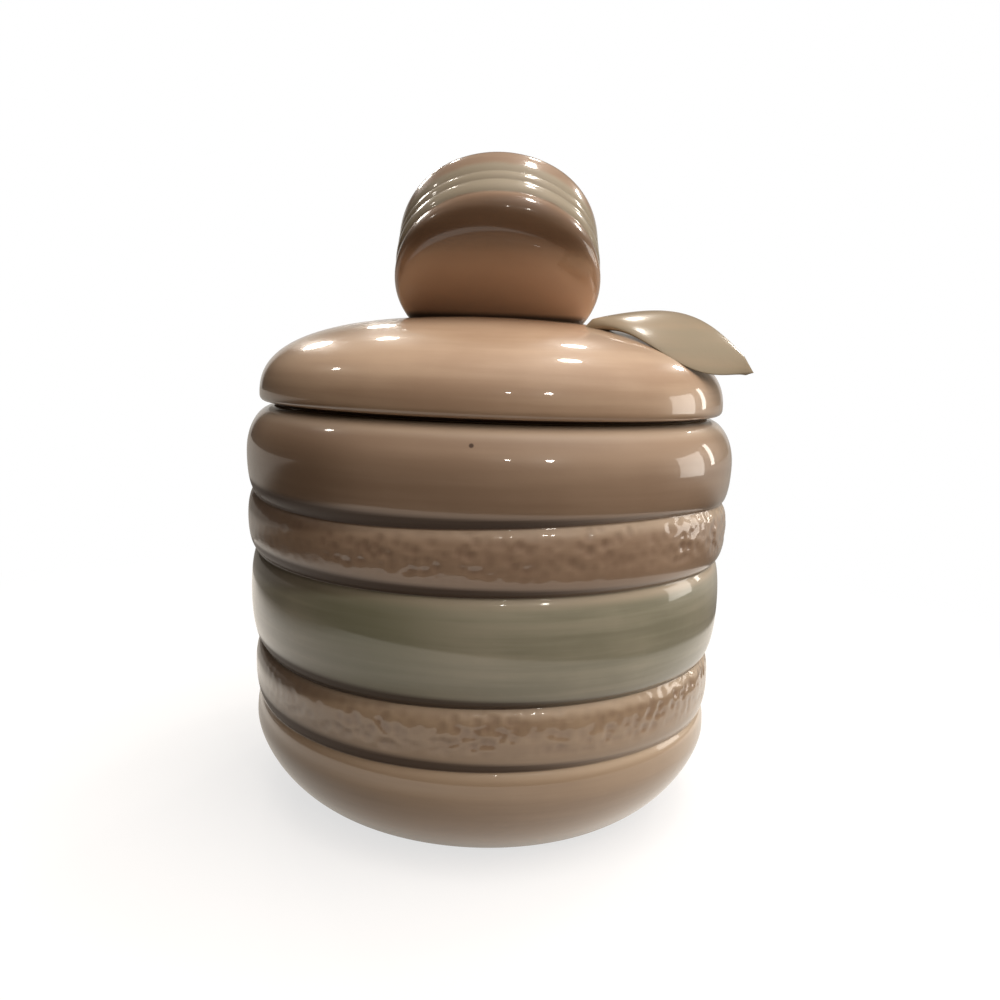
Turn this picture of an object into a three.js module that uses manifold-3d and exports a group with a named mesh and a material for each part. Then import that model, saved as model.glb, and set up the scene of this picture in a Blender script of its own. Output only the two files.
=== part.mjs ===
// A glazed ceramic cookie jar shaped as one tall macaron, with a lift-off domed lid.
//
// Millimetres, +Z up. The origin is the centre of the base, on the jar's axis, and the front of the
// jar faces -Y. The wall is a stack of five rings: a smooth shell, a foot band, the filling, another
// foot band and the top shell. Each groove between them wanders a little from level, as on a casting
// that was carved by hand. The lid carries a small tilted macaron as its knob and one leaf that hangs
// over its edge. A soft ring round the lid's flange seals it in the mouth.

import * as THREE from "three";
import { mergeVertices } from "three/addons/utils/BufferGeometryUtils.js";
import Module from "manifold-3d";

const wasm = await Module();
wasm.setup();

// Counts of facets and steps
const turnSteps = 48;
const knobTurnSteps = 36;
const holeSteps = 12;
const bandSteps = 3;
const knobBandSteps = 2;
const curveSteps = 7;
const domeSteps = 10;
const leafLengthSteps = 16;
const leafSectionSteps = 14;

// Clearances, and the one overrun that all cuts share
const seatGap = 0.3;
const sealGap = 0.3;
const cutOverrun = 20;

// Heights of the wall's rings, from the table up
const bottomShellHeight = 38.5;
const lowerFootHeight = 21.5;
const fillingHeight = 37;
const upperFootHeight = 22.2;
const topShellHeight = 31.7;

// Radius of the wall at its widest, which is the top shell, and how far the other rings step in
// from it. Each groove is cut below the smaller of its two rings.
const wallRadius = 95.4;
const upperFootInset = 0.4;
const fillingInset = 1.6;
const lowerFootInset = 3.2;
const bottomShellInset = 3.8;
const bottomShellWideHeight = 29;
const topShellWideDrop = 16.9;
const lowestGrooveDepth = 2.2;
const lowFillingGrooveDepth = 3.2;
const highFillingGrooveDepth = 3;
const highestGrooveDepth = 2.9;
const bandWideShare = 0.56;

// How far each groove tips up on its right, and how far it swings up on its right front besides
const lowestGrooveTip = -1;
const lowestGrooveSwing = 1.2;
const lowFillingGrooveTip = -0.8;
const lowFillingGrooveSwing = 1.3;
const highFillingGrooveTip = 0;
const highFillingGrooveSwing = 0.9;
const highestGrooveTip = -1.4;
const highestGrooveSwing = 2.9;

// Foot of the jar: the ring that it stands on, and the glazed recess inside that ring
const footRingInset = 28.4;
const footRingWidth = 9;
const footRecessDepth = 1.5;

// Wall, floor and mouth of the jar
const wallThickness = 6.5;
const grooveWallThickness = 5.4;
const floorThickness = 7;
const floorRoundRadius = 22;
const mouthInset = 16.4;
const mouthLandHeight = 9;
const mouthRoundRadius = 1.2;
const rimWidth = 5.5;

// Lid: its dome, its lower lip and the flange that drops into the mouth
const lidInset = 5;
const lidLipHeight = 3.6;
const lidLipWidth = 4.4;
const lidDomeHeight = 31.8;
const lidThickness = 6.2;
const seatThickness = 5.6;
const seatRoundRadius = 3;
const flangeGap = 3.7;
const flangeToeHeight = 3.4;
const flangeThickness = 5.4;
const flangeRoundRadius = 1.2;
const ventHoleRadius = 4;
const ventHoleBack = 9;

// Soft seal ring in its seat round the flange
const sealHeight = 6;
const sealSeatDepth = 2;
const sealSeatTop = 2;
const sealBandReach = 1;
const sealFinHeight = 1.6;

// Knob: a small macaron that leans back by its tilt and is cut where it sinks into the lid. Depths
// run along its own axis from its middle, towards the front or towards the back.
const knobRise = 24.4;
const knobOffset = 0.8;
const knobTiltDegrees = 43;
const knobWall = 5;
const knobRadius = 39.6;
const knobFrontShellInset = 0.1;
const knobBackFootInset = 0.2;
const knobBackShellInset = 0.4;
const knobGrooveDepth = 0.9;
const knobFrontDepth = 28;
const knobFrontShellDepth = 16.5;
const knobFillingFrontDepth = 11.6;
const knobFillingBackDepth = 4.9;
const knobBackFootDepth = 0;
const knobBackShellDepth = 4;
const knobBackDepth = 19.5;

// Leaf: where its root lies on the dome, how far its tip hangs past the lid, and its blade
const leafKnobGap = 9.9;
const leafRootDegrees = -50.2;
const leafRootSink = 1.1;
const leafTipReach = 10.6;
const leafTipDegrees = -21.6;
const leafTipRise = 14.2;
const leafWidth = 35;
const leafThickness = 5;
const leafArch = 8.8;
const leafCrown = 3.6;
const leafBend = 3;

// Powers of the rounded sections: 2 is an ellipse, and a larger one is boxier
const ringPower = 2.1;
const bottomPower = 1.5;
const rimPower = 2;
const lidPower = 2.5;
const knobFrontPower = 2.1;
const knobBackPower = 3.4;
const knobHollowPower = 3;
const leafEdgePower = 2.4;
const leafEndPower = 1.08;

// How steeply the leaf is banked by its tip, its far edge up, from level at its root
const leafBankShare = 1.02;

// Heights and radii that follow from the sizes above
const bottomShellRadius = wallRadius - bottomShellInset;
const lowerFootRadius = wallRadius - lowerFootInset;
const fillingRadius = wallRadius - fillingInset;
const upperFootRadius = wallRadius - upperFootInset;
const footRingRadius = wallRadius - footRingInset;
const footRecessRadius = footRingRadius - footRingWidth;
const mouthRadius = wallRadius - mouthInset;
const lidRadius = wallRadius - lidInset;
const lowestGroove = bottomShellHeight;
const lowFillingGroove = lowestGroove + lowerFootHeight;
const highFillingGroove = lowFillingGroove + fillingHeight;
const highestGroove = highFillingGroove + upperFootHeight;
const rimHeight = highestGroove + topShellHeight;
const topShellWideHeight = rimHeight - topShellWideDrop;
const cavityFloor = footRecessDepth + floorThickness;
const lidSeatHeight = rimHeight + seatGap;
const lidWideHeight = lidSeatHeight + lidLipHeight;
const lidTopHeight = lidWideHeight + lidDomeHeight;
const flangeRadius = mouthRadius - flangeGap;
const flangeInnerRadius = flangeRadius - flangeThickness;
const sealTop = lidSeatHeight - sealSeatTop - sealGap;
const sealFoot = sealTop - sealHeight;
const flangeFoot = sealFoot - sealGap - flangeToeHeight;
const knobFrontShellRadius = knobRadius - knobFrontShellInset;
const knobBackFootRadius = knobRadius - knobBackFootInset;
const knobBackShellRadius = knobRadius - knobBackShellInset;
const knobHeight = lidTopHeight + knobRise;
const leafRootRadius = knobRadius + leafKnobGap;
const knobTilt = THREE.MathUtils.degToRad(knobTiltDegrees);

// Glaze and rubber
const peachGlaze = { color: 0xb3957b, roughness: 0.15, metalness: 0 };
const paleGlaze = { color: 0xc1a284, roughness: 0.15, metalness: 0 };
const mintGlaze = { color: 0xada083, roughness: 0.18, metalness: 0 };
const sealRubber = { color: 0xd8d4cc, roughness: 0.6, metalness: 0 };

// A rounded corner between two [radius, height] points. It leaves the first along the axis and
// reaches the second square to it, and its power sets how boxy it is.
function corner(start, end, power, steps) {
  const points = [];
  for (let i = 0; i <= steps; i += 1) {
    const turn = ((i / steps) * Math.PI) / 2;
    const across = Math.max(Math.cos(turn), 0) ** (2 / power);
    const along = Math.sin(turn) ** (2 / power);
    const radius = end[0] + (start[0] - end[0]) * across;
    const height = start[1] + (end[1] - start[1]) * along;
    points.push([radius, height]);
  }
  return points;
}

// A bulging band from one groove point through its widest point to the next groove point
function band(start, wide, end, lowPower, highPower, steps) {
  const low = corner(wide, start, lowPower, steps).reverse();
  const high = corner(wide, end, highPower, steps);
  return [...low, ...high.slice(1)];
}

// A closed solid turned about Z. Its [radius, height] points run upwards on the outside.
function turned(profile, steps) {
  const points = profile.map(([radius, height]) => new THREE.Vector2(radius, height));
  return new THREE.LatheGeometry(points, steps).rotateX(Math.PI / 2);
}

// The geometry with its shared vertices merged, less the triangles that shrink to a line on the axis
function welded(geometry) {
  const bare = geometry.clone();
  bare.deleteAttribute("normal");
  bare.deleteAttribute("uv");
  const merged = mergeVertices(bare);
  const corners = merged.index.array;
  const kept = [];
  for (let i = 0; i < corners.length; i += 3) {
    const [a, b, c] = [corners[i], corners[i + 1], corners[i + 2]];
    if (a !== b && b !== c && c !== a) {
      kept.push(a, b, c);
    }
  }
  merged.setIndex(kept);
  merged.computeVertexNormals();
  return merged;
}

// A geometry as a solid that can be joined and cut
function solid(geometry) {
  const shared = welded(geometry);
  const mesh = new wasm.Mesh({
    numProp: 3,
    vertProperties: new Float32Array(shared.attributes.position.array),
    triVerts: new Uint32Array(shared.index.array),
  });
  return new wasm.Manifold(mesh);
}

// A solid back as a geometry
function geometryOf(body) {
  const mesh = body.getMesh();
  const geometry = new THREE.BufferGeometry();
  geometry.setAttribute("position", new THREE.BufferAttribute(mesh.vertProperties, 3));
  geometry.setIndex(new THREE.BufferAttribute(mesh.triVerts, 1));
  geometry.computeVertexNormals();
  return geometry;
}

// A named mesh with its own material
function piece(name, geometry, finish) {
  const mesh = new THREE.Mesh(geometry, new THREE.MeshStandardMaterial(finish));
  mesh.name = name;
  return mesh;
}

// The row at a place between rows of [place, value, value], by straight lines
function between(rows, place) {
  const found = rows.findIndex(([at]) => at >= place);
  const next = found < 0 ? rows.length - 1 : Math.max(1, found);
  const [low, high] = [rows[next - 1], rows[next]];
  const share = THREE.MathUtils.clamp((place - low[0]) / (high[0] - low[0]), 0, 1);
  return low.map((value, i) => THREE.MathUtils.lerp(value, high[i], share));
}

// The four groove points of the wall, from the lowest up
const groovePoints = [
  [Math.min(bottomShellRadius, lowerFootRadius) - lowestGrooveDepth, lowestGroove],
  [Math.min(lowerFootRadius, fillingRadius) - lowFillingGrooveDepth, lowFillingGroove],
  [Math.min(fillingRadius, upperFootRadius) - highFillingGrooveDepth, highFillingGroove],
  [Math.min(upperFootRadius, wallRadius) - highestGrooveDepth, highestGroove],
];

// The widest point of each ring, from the lowest up
const widePoints = [
  [bottomShellRadius, bottomShellWideHeight],
  [lowerFootRadius, lowestGroove + lowerFootHeight * bandWideShare],
  [fillingRadius, lowFillingGroove + fillingHeight * bandWideShare],
  [upperFootRadius, highFillingGroove + upperFootHeight * bandWideShare],
  [wallRadius, topShellWideHeight],
];

// The outside of the wall, from the foot ring up to the flat of the rim
function outerWall() {
  const [lowest, lowFilling, highFilling, highest] = groovePoints;
  const foot = [footRingRadius, 0];
  const rim = [mouthRadius + rimWidth, rimHeight];
  return [
    ...band(foot, widePoints[0], lowest, bottomPower, ringPower, curveSteps).slice(0, -1),
    ...band(lowest, widePoints[1], lowFilling, ringPower, ringPower, bandSteps).slice(0, -1),
    ...band(lowFilling, widePoints[2], highFilling, ringPower, ringPower, bandSteps).slice(0, -1),
    ...band(highFilling, widePoints[3], highest, ringPower, ringPower, bandSteps).slice(0, -1),
    ...band(highest, widePoints[4], rim, ringPower, rimPower, curveSteps),
  ];
}

// The inside of the jar, from the mouth down to the middle of the floor. Slip settles on the mould
// to an even wall, so the inside follows the rings, only softer.
function innerWall() {
  const mouthEdge = [mouthRadius + mouthRoundRadius, rimHeight];
  const mouthTop = [mouthRadius, rimHeight - mouthRoundRadius];
  const points = [...corner(mouthTop, mouthEdge, rimPower, bandSteps).reverse()];
  points.push([mouthRadius, rimHeight - mouthLandHeight]);
  for (let i = widePoints.length - 1; i > 0; i -= 1) {
    const [wide, groove] = [widePoints[i], groovePoints[i - 1]];
    points.push([wide[0] - wallThickness, wide[1]]);
    points.push([groove[0] - grooveWallThickness, groove[1]]);
  }
  const side = [bottomShellRadius - wallThickness, cavityFloor + floorRoundRadius];
  const floorEdge = [side[0] - floorRoundRadius, cavityFloor];
  points.push(...corner(side, floorEdge, rimPower, curveSteps));
  points.push([0, cavityFloor]);
  return points;
}

// The underside of the jar, from its middle out to the foot ring
function underside() {
  return [
    [0, footRecessDepth],
    [footRecessRadius - footRecessDepth, footRecessDepth],
    [footRecessRadius, 0],
  ];
}

// How far each groove tips and swings, between the level foot and the level land of the mouth
const wanderRows = [
  [footRecessDepth, 0, 0],
  [lowestGroove, lowestGrooveTip, lowestGrooveSwing],
  [lowFillingGroove, lowFillingGrooveTip, lowFillingGrooveSwing],
  [highFillingGroove, highFillingGrooveTip, highFillingGrooveSwing],
  [highestGroove, highestGrooveTip, highestGrooveSwing],
  [rimHeight - mouthLandHeight, 0, 0],
];

// Moves the wall's points up and down so that the grooves wander, and leaves base and mouth level
function wander(geometry) {
  const position = geometry.attributes.position;
  for (let i = 0; i < position.count; i += 1) {
    const [x, y, height] = [position.getX(i), position.getY(i), position.getZ(i)];
    const turn = Math.atan2(x, -y);
    const reach = Math.min(Math.hypot(x, y) / footRingRadius, 1);
    const [, tip, swing] = between(wanderRows, height);
    const rise = tip * Math.sin(turn) + swing * Math.sin(2 * turn);
    position.setZ(i, height + rise * reach);
  }
  return geometry;
}

// The pot, one casting: foot ring, five rings, rim, mouth and inside
function makeJarBody() {
  const profile = [...underside(), ...outerWall(), ...innerWall()];
  return welded(wander(turned(profile, turnSteps)));
}

// The outside of the lid from its seat on the rim up to the middle of the dome
function lidOutside() {
  const wide = [lidRadius, lidWideHeight];
  const lip = [lidRadius - lidLipWidth, lidSeatHeight];
  const top = [0, lidTopHeight];
  return [
    ...corner(wide, lip, rimPower, bandSteps).reverse(),
    ...corner(wide, top, lidPower, domeSteps).slice(1),
  ];
}

// The inside of the lid from the middle of the dome down to the top of the flange. The wall is even,
// so a ledge lies over the seat.
function lidInside() {
  const ledge = lidSeatHeight + seatThickness;
  const side = [lidRadius - lidThickness - seatRoundRadius, ledge];
  const wide = [lidRadius - lidThickness, ledge + seatRoundRadius];
  const top = [0, lidTopHeight - lidThickness];
  return [
    ...corner(wide, top, lidPower, domeSteps).reverse(),
    ...corner(wide, side, rimPower, bandSteps).slice(1),
    [flangeInnerRadius + flangeRoundRadius, ledge],
    [flangeInnerRadius, ledge - flangeRoundRadius],
  ];
}

// The flange from its inner edge round its foot and up past the seal's seat
function flange() {
  const seat = flangeRadius - sealSeatDepth;
  const round = flangeFoot + flangeRoundRadius;
  const innerToe = [flangeInnerRadius + flangeRoundRadius, flangeFoot];
  const outerToe = [flangeRadius - flangeRoundRadius, flangeFoot];
  return [
    ...corner([flangeInnerRadius, round], innerToe, rimPower, bandSteps),
    ...corner([flangeRadius, round], outerToe, rimPower, bandSteps).reverse(),
    [flangeRadius, sealFoot - sealGap],
    [seat, sealFoot - sealGap],
    [seat, sealTop + sealGap],
    [flangeRadius, sealTop + sealGap],
    [flangeRadius, lidSeatHeight],
  ];
}

// The lid, one hollow casting with its flange and the hole that vents the knob
function makeLid() {
  const shell = solid(turned([...lidInside(), ...flange(), ...lidOutside()], turnSteps));
  const length = lidThickness + cutOverrun;
  const hole = new THREE.CylinderGeometry(ventHoleRadius, ventHoleRadius, length, holeSteps);
  hole.rotateX(Math.PI / 2);
  hole.translate(knobOffset, ventHoleBack, lidTopHeight);
  return geometryOf(shell.subtract(solid(hole)));
}

// The space that the lid fills, with the seat gap all round, for cutting what is luted to it
function lidSpace() {
  const low = lidSeatHeight - cutOverrun;
  const side = [lidRadius + seatGap, lidWideHeight];
  const top = [0, lidTopHeight + seatGap];
  const dome = corner(side, top, lidPower, domeSteps);
  return solid(turned([[0, low], [side[0], low], ...dome], turnSteps));
}

// The seal ring: a band in the flange's seat with a fin at its top and one at its foot
function makeSealRing() {
  const inner = flangeRadius - sealSeatDepth + sealGap;
  const outer = flangeRadius + sealBandReach;
  const fin = mouthRadius - sealGap;
  const profile = [
    [inner, sealFoot],
    [fin, sealFoot],
    [fin, sealFoot + sealFinHeight],
    [outer, sealFoot + sealFinHeight],
    [outer, sealTop - sealFinHeight],
    [fin, sealTop - sealFinHeight],
    [fin, sealTop],
    [inner, sealTop],
    [inner, sealFoot],
  ];
  return welded(turned(profile, turnSteps));
}

// The knob's outside about its own axis, from the middle of its front to the middle of its back:
// front shell, filling, foot and back shell, with a groove between each two
function knobOutside() {
  const groove = (radius, place) => [radius - knobGrooveDepth, place];
  const fillingFront = groove(knobFrontShellRadius, -knobFillingFrontDepth);
  const fillingBack = groove(knobBackFootRadius, -knobFillingBackDepth);
  const back = groove(knobBackShellRadius, -knobBackFootDepth);
  const frontShell = [knobFrontShellRadius, -knobFrontShellDepth];
  const filling = [knobRadius, -(knobFillingFrontDepth + knobFillingBackDepth) / 2];
  const backFoot = [knobBackFootRadius, -(knobFillingBackDepth + knobBackFootDepth) / 2];
  const backShell = [knobBackShellRadius, knobBackShellDepth];
  return [
    ...corner(frontShell, [0, -knobFrontDepth], knobFrontPower, curveSteps).reverse(),
    ...corner(frontShell, fillingFront, ringPower, knobBandSteps).slice(1, -1),
    ...band(fillingFront, filling, fillingBack, ringPower, ringPower, knobBandSteps).slice(0, -1),
    ...band(fillingBack, backFoot, back, ringPower, ringPower, knobBandSteps).slice(0, -1),
    ...corner(backShell, back, ringPower, knobBandSteps).reverse(),
    ...corner(backShell, [0, knobBackDepth], knobBackPower, curveSteps).slice(1),
  ];
}

// The knob's inside about its own axis, which is smooth
function knobInside() {
  const wide = [knobFrontShellRadius - knobWall, -knobFillingBackDepth];
  const front = [0, knobWall - knobFrontDepth];
  const back = [0, knobBackDepth - knobWall];
  return band(front, wide, back, knobHollowPower, knobHollowPower, curveSteps);
}

// Turns a solid from the knob's own axis to its lean, and sets it on the lid
function placeKnob(geometry) {
  geometry.rotateX(-knobTilt);
  return geometry.translate(knobOffset, 0, knobHeight);
}

// The knob: a hollow banded macaron, cut to the dome of the lid, so it is open underneath
function makeKnob() {
  const outside = solid(placeKnob(turned(knobOutside(), knobTurnSteps)));
  const inside = solid(placeKnob(turned(knobInside(), knobTurnSteps)));
  return geometryOf(outside.subtract(inside).subtract(lidSpace()));
}

// The height of the lid's dome at a radius
function domeHeight(radius) {
  const share = Math.min(radius / lidRadius, 1);
  return lidWideHeight + lidDomeHeight * (1 - share ** lidPower) ** (1 / lidPower);
}

// A point in plan at a radius and at degrees from +X
function planPoint(radius, degrees) {
  const angle = THREE.MathUtils.degToRad(degrees);
  return new THREE.Vector2(radius * Math.cos(angle), radius * Math.sin(angle));
}

// Where the leaf's middle line starts and ends
const leafRoot = planPoint(leafRootRadius, leafRootDegrees);
const leafTip = planPoint(lidRadius + leafTipReach, leafTipDegrees);
const leafRootHeight = domeHeight(leafRootRadius) - leafRootSink;
const leafTipHeight = lidWideHeight + leafTipRise;

// One point of the leaf's skin. The share runs from root to tip, and the turn round the section.
function leafPoint(share, turn) {
  const half = (leafWidth / 2) * Math.max(Math.sin(Math.PI * share), 0) ** leafEndPower;
  const across = half * Math.cos(turn);
  const side = Math.sin(turn);
  const thick = Math.min(leafThickness / 2, half);
  const skin = thick * Math.sign(side) * Math.abs(side) ** (2 / leafEdgePower);
  const swell = 4 * share * (1 - share);
  const bank = leafBankShare * share;
  const middle = THREE.MathUtils.lerp(leafRootHeight, leafTipHeight, share) + leafArch * swell;
  const crown = leafCrown * (across / (leafWidth / 2)) ** 2;
  const line = new THREE.Vector2().lerpVectors(leafRoot, leafTip, share);
  const along = leafTip.clone().sub(leafRoot).normalize();
  const aside = across + leafBend * swell;
  const height = middle + bank * across - crown + skin;
  return [line.x - along.y * aside, line.y + along.x * aside, height];
}

// The leaf: a crowned blade with a rounded edge, cut to the dome of the lid
function makeLeaf() {
  const points = [...leafPoint(0, 0)];
  for (let i = 1; i < leafLengthSteps; i += 1) {
    for (let j = 0; j < leafSectionSteps; j += 1) {
      points.push(...leafPoint(i / leafLengthSteps, (2 * Math.PI * j) / leafSectionSteps));
    }
  }
  points.push(...leafPoint(1, 0));
  const tip = points.length / 3 - 1;
  const ring = (i, j) => 1 + (i - 1) * leafSectionSteps + (j % leafSectionSteps);
  const faces = [];
  for (let j = 0; j < leafSectionSteps; j += 1) {
    faces.push(0, ring(1, j + 1), ring(1, j));
    faces.push(tip, ring(leafLengthSteps - 1, j), ring(leafLengthSteps - 1, j + 1));
    for (let i = 1; i < leafLengthSteps - 1; i += 1) {
      faces.push(ring(i, j), ring(i, j + 1), ring(i + 1, j + 1));
      faces.push(ring(i, j), ring(i + 1, j + 1), ring(i + 1, j));
    }
  }
  const blade = new THREE.BufferGeometry();
  blade.setAttribute("position", new THREE.Float32BufferAttribute(points, 3));
  blade.setIndex(faces);
  return geometryOf(solid(blade).subtract(lidSpace()));
}

const jar = new THREE.Group();
jar.add(piece("jar_body", makeJarBody(), peachGlaze));

const lid = new THREE.Group();
lid.add(piece("lid", makeLid(), paleGlaze));
lid.add(piece("knob", makeKnob(), peachGlaze));
lid.add(piece("leaf", makeLeaf(), mintGlaze));
lid.add(piece("seal_ring", makeSealRing(), sealRubber));
jar.add(lid);

export default jar;
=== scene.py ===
# Looks of a glazed ceramic cookie jar that stands on a pale table: its glazes, the pitted foot bands of
# its wall, the banded knob and the leaf, with the light and the camera. Sizes are in millimetres unless
# a heading says otherwise, and meshes and places are turned into metres as they are made.
import math

import bpy
import numpy as np
from mathutils import Matrix, Vector, noise


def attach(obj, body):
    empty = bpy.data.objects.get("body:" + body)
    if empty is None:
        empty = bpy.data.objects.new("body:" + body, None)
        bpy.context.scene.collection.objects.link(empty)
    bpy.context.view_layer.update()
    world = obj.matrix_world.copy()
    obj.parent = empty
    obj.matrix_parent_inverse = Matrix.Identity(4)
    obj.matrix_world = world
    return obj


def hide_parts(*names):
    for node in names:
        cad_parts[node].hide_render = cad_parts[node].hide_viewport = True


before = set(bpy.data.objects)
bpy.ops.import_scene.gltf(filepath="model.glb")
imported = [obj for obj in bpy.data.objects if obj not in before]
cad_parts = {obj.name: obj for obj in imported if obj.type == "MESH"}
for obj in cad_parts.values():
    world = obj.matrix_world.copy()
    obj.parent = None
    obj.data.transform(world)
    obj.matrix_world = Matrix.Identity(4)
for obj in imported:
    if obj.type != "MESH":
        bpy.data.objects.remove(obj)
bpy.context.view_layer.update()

MM = 0.001

# Steps of the meshes round their axis and along their outline
WALL_STEPS = 600
LID_STEPS = 360
KNOB_STEPS = 240
SEAL_STEPS = 180
CURVE_STEPS = 26
DOME_STEPS = 4 * CURVE_STEPS
INNER_DOME_STEPS = 2 * CURVE_STEPS
ROUND_STEPS = 6
LEAF_LENGTH_STEPS = 90
LEAF_SECTION_STEPS = 48
SEAL_EDGE_STEPS = 3

# Spacing of the points along the evened outlines, and how far softening reaches, in softnesses
OUTER_SPACING = 0.75
INNER_SPACING = 2.5
KNOB_SPACING = 0.5
SOFTENING_REACH = 3
SAME_POINT = 1e-6

# Levels that stand for a glazed inside and for the bare foot ring. Elsewhere a point's level is its
# height, its depth along the knob's axis or its share of the way across the leaf.
INSIDE_MARK = -40.0
BARE_MARK = -10.0

# Clearances of the solids
SEAT_GAP = 0.3
SEAL_GAP = 0.3

# Heights of the wall's rings, from the table up
BOTTOM_SHELL_HEIGHT = 38.5
LOWER_FOOT_HEIGHT = 21.5
FILLING_HEIGHT = 37.0
UPPER_FOOT_HEIGHT = 22.2
TOP_SHELL_HEIGHT = 31.7

# Radius of the wall and how far its rings and grooves step in from it
WALL_RADIUS = 95.4
UPPER_FOOT_INSET = 0.4
FILLING_INSET = 1.6
LOWER_FOOT_INSET = 3.2
BOTTOM_SHELL_INSET = 3.8
BOTTOM_SHELL_WIDE_HEIGHT = 29.0
TOP_SHELL_WIDE_DROP = 16.9
LOWEST_GROOVE_DEPTH = 2.2
LOW_FILLING_GROOVE_DEPTH = 3.2
HIGH_FILLING_GROOVE_DEPTH = 3.0
HIGHEST_GROOVE_DEPTH = 2.9
BAND_WIDE_SHARE = 0.56

# How far each groove tips up on its right, and how far it swings up on its right front besides
LOWEST_GROOVE_WANDER = (-1.0, 1.2)
LOW_FILLING_GROOVE_WANDER = (-0.8, 1.3)
HIGH_FILLING_GROOVE_WANDER = (0.0, 0.9)
HIGHEST_GROOVE_WANDER = (-1.4, 2.9)
NO_WANDER = (0.0, 0.0)

# Foot, floor, wall and mouth
FOOT_RING_INSET = 28.4
FOOT_RING_WIDTH = 9.0
FOOT_RECESS_DEPTH = 1.5
WALL_THICKNESS = 6.5
GROOVE_WALL_THICKNESS = 5.4
FLOOR_THICKNESS = 7.0
FLOOR_ROUND_RADIUS = 22.0
MOUTH_INSET = 16.4
MOUTH_LAND_HEIGHT = 9.0
MOUTH_ROUND_RADIUS = 1.2
RIM_WIDTH = 5.5

# Lid
LID_INSET = 5.0
LID_LIP_HEIGHT = 3.6
LID_LIP_WIDTH = 4.4
LID_LIP_EDGE = 1.8
LID_LIP_DROP = 2.3
LID_LIP_RECESS = 1.0
LID_DOME_HEIGHT = 31.8
LID_THICKNESS = 6.2
SEAT_THICKNESS = 5.6
SEAT_ROUND_RADIUS = 3.0
FLANGE_GAP = 3.7
FLANGE_TOE_HEIGHT = 3.4
FLANGE_THICKNESS = 5.4
FLANGE_ROUND_RADIUS = 1.2
VENT_HOLE_RADIUS = 4.0
VENT_HOLE_BACK = 9.0
VENT_BLEND_REACH = 24.0

# Seal ring
SEAL_HEIGHT = 6.0
SEAL_SEAT_DEPTH = 2.0
SEAL_SEAT_TOP = 2.0
SEAL_BAND_REACH = 1.0
SEAL_FIN_HEIGHT = 1.6
SEAL_EDGE_ROUND = 0.35

# Knob, with its depths along its own axis from its middle
KNOB_RISE = 24.4
KNOB_OFFSET = 0.8
KNOB_TILT = math.radians(43)
KNOB_RADIUS = 39.6
KNOB_FRONT_SHELL_INSET = 0.1
KNOB_BACK_FOOT_INSET = 0.2
KNOB_BACK_SHELL_INSET = 0.4
KNOB_GROOVE_DEPTH = 0.9
KNOB_FRONT_DEPTH = 28.0
KNOB_FRONT_SHELL_DEPTH = 16.5
KNOB_FILLING_FRONT_DEPTH = 11.6
KNOB_FILLING_BACK_DEPTH = 4.9
KNOB_BACK_FOOT_DEPTH = 0.0
KNOB_BACK_SHELL_DEPTH = 4.0
KNOB_BACK_DEPTH = 19.5
KNOB_SINK = 1.6

# Leaf
LEAF_KNOB_GAP = 9.9
LEAF_ROOT_ANGLE = math.radians(-50.2)
LEAF_ROOT_SINK = 1.1
LEAF_TIP_REACH = 10.6
LEAF_TIP_ANGLE = math.radians(-21.6)
LEAF_TIP_RISE = 14.2
LEAF_WIDTH = 35.0
LEAF_THICKNESS = 5.0
LEAF_ARCH = 8.8
LEAF_CROWN = 3.6
LEAF_BEND = 3.0
LEAF_BANK_SHARE = 1.02
LEAF_SINK = 0.8

# Powers of the rounded sections: 2 is an ellipse, and a larger one is boxier
RING_POWER = 2.1
BOTTOM_POWER = 1.5
RIM_POWER = 2.0
LID_POWER = 2.5
KNOB_FRONT_POWER = 2.1
KNOB_BACK_POWER = 3.4
LEAF_EDGE_POWER = 1.7
LEAF_END_POWER = 1.08

# Pits and lumps of the foot bands, which are calmer at the left and fade out towards the band's edges
PIT_SPACING = 3.5
PIT_DEPTH = 0.55
PIT_REACH = 0.62
PIT_START_SHARE = 0.15
PIT_LOWER_LIP_SHARE = 0.48
PIT_UPPER_LIP_SHARE = 0.07
PIT_PATCH_SPACING = 14.0
PIT_PATCH_NOISE = (-0.3, 0.3)
PIT_LEAST_SHARE = 0.4
PIT_CALM_SHARE = 0.85
PIT_CALM_TURN = math.radians(-70)
PIT_CALM_WIDTH = math.radians(50)
LUMP_SPACING = 8.0
LUMP_DEPTH = 0.4

# Grooves rounded over by glaze, and the slow unevenness of hand-finished casting
GROOVE_SOFTNESS = 0.8
KNOB_GROOVE_SOFTNESS = 0.8
UNEVEN_DEPTH = 0.3
UNEVEN_SPACING = 34.0
UNEVEN_FOOT = (0.0, 12.0)
KNOB_UNEVEN_SPACING = 17.0
SEED_SKEW = (1.0, 0.7, 1.3)
LID_SEED = 3.0
KNOB_SEED = 5.0

# Painted shade above each groove, with some dark glaze pooled in it, reaching farther up at the shaded
# left and fainter at the lit right
SHADE_POOL_REACH = 4.2
SHADE_POOL_SWING = 3.3
SHADE_POOL_BELOW = 0.4
SHADE_POOL_FULL_SHARE = 0.6
LIT_RIGHT_TURNS = np.radians((2, 40, 110, 150))
LIT_RIGHT_SHARE = 0.6

# Wedges of painted shade below the upper three grooves at the left
SHADE_WEDGE_TURNS = np.radians((15, 60, 110, 150))
SHADE_WEDGE_REACH = 8.0
SHADE_WEDGE_LEAST = 2.0
SHADE_WEDGE_SHARE = 0.72

# Painted light on the edge below each groove, stronger at the lit right, and all round the rim
LIT_EDGE_REACH = 5.0
LIT_EDGE_FULL = 1.2
LIT_EDGE_MIDDLE = 0.95
LIT_EDGE_SWING = 0.9
LIT_RIM = 1.1
LIT_RIM_HEIGHTS = (145.5, 148.5)

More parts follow.
